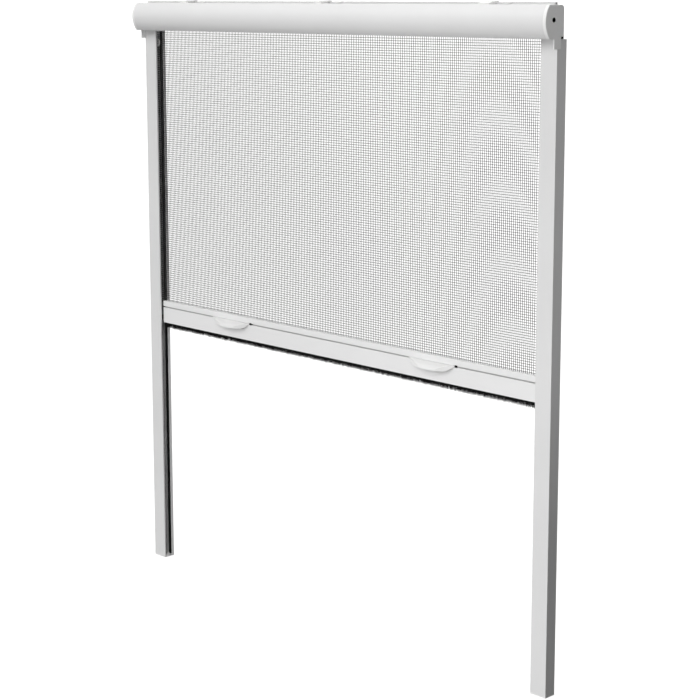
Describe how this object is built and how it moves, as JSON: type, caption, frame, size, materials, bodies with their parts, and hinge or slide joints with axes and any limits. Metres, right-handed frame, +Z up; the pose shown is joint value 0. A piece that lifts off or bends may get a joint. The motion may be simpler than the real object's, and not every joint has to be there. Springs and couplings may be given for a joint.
{
  "type": "roller insect screen",
  "caption": "Roller fly screen for a window: head cassette, two guide rails and a pull bar with grips that draws the mesh down.",
  "frame": {"origin": "on the plane of the guide rails' backs, midway between the rails, at the sill under their feet", "axes": "+X to the right as seen from the room, +Y back into the window, +Z up along the rails"},
  "size_m": [0.8924, 0.0465, 0.9721],
  "materials": {
    "white_metal": "satin white powder coat on extruded aluminium",
    "white_plastic": "semi-gloss white moulding",
    "dark_plastic": "black moulding",
    "brush_pile": "black pile, fuzzy edge",
    "mesh_thread": "grey coated glass-fibre thread",
    "bare_metal": "mill finish",
    "spring_steel": "bright drawn wire"
  },
  "bodies": {
    "frame": {"cassette": "white_metal", "top_strip": "white_metal", "guide_rail_left": "white_metal", "guide_rail_right": "white_metal", "end_cap_left": "white_plastic", "end_cap_right": "white_plastic", "rail_foot_left": "white_plastic", "rail_foot_right": "white_plastic", "rail_stop_left": "white_plastic", "rail_stop_right": "white_plastic", "rail_brush_front_left": "brush_pile", "rail_brush_front_right": "brush_pile", "rail_brush_rear_left": "brush_pile", "rail_brush_rear_right": "brush_pile", "spring_clip_left": "white_plastic", "spring_clip_middle": "white_plastic", "spring_clip_right": "white_plastic", "spring_rod": "spring_steel", "torsion_spring": "spring_steel", "mesh_panel": "mesh_thread"},
    "pull_bar_body": {"pull_bar": "white_metal", "bar_brush": "brush_pile", "mesh_edge_strip": "dark_plastic", "bar_slider_left": "dark_plastic", "bar_slider_right": "dark_plastic", "grip_left": "white_plastic", "grip_right": "white_plastic"},
    "roller": {"roller_tube": "bare_metal", "mesh_roll": "mesh_thread", "roller_plug_left": "dark_plastic", "roller_plug_right": "dark_plastic", "spring_anchor": "dark_plastic"}
  },
  "joints": [
    {"name": "bar_slide", "type": "slide", "parent": "frame", "child": "pull_bar_body", "axis": [0, 0, 1], "range_m": [-0.411, 0.459], "deforming": ["mesh_panel"]},
    {"name": "roller_spin", "type": "hinge", "parent": "frame", "child": "roller", "pos_m": [0, -0.0293, 0.9473], "axis": [1, 0, 0], "range_deg": [-2060, 2300]}
  ],
  "couplings": [
    {"joint": "roller_spin", "follows": "bar_slide", "rad_per_m": 86.96}
  ]
}
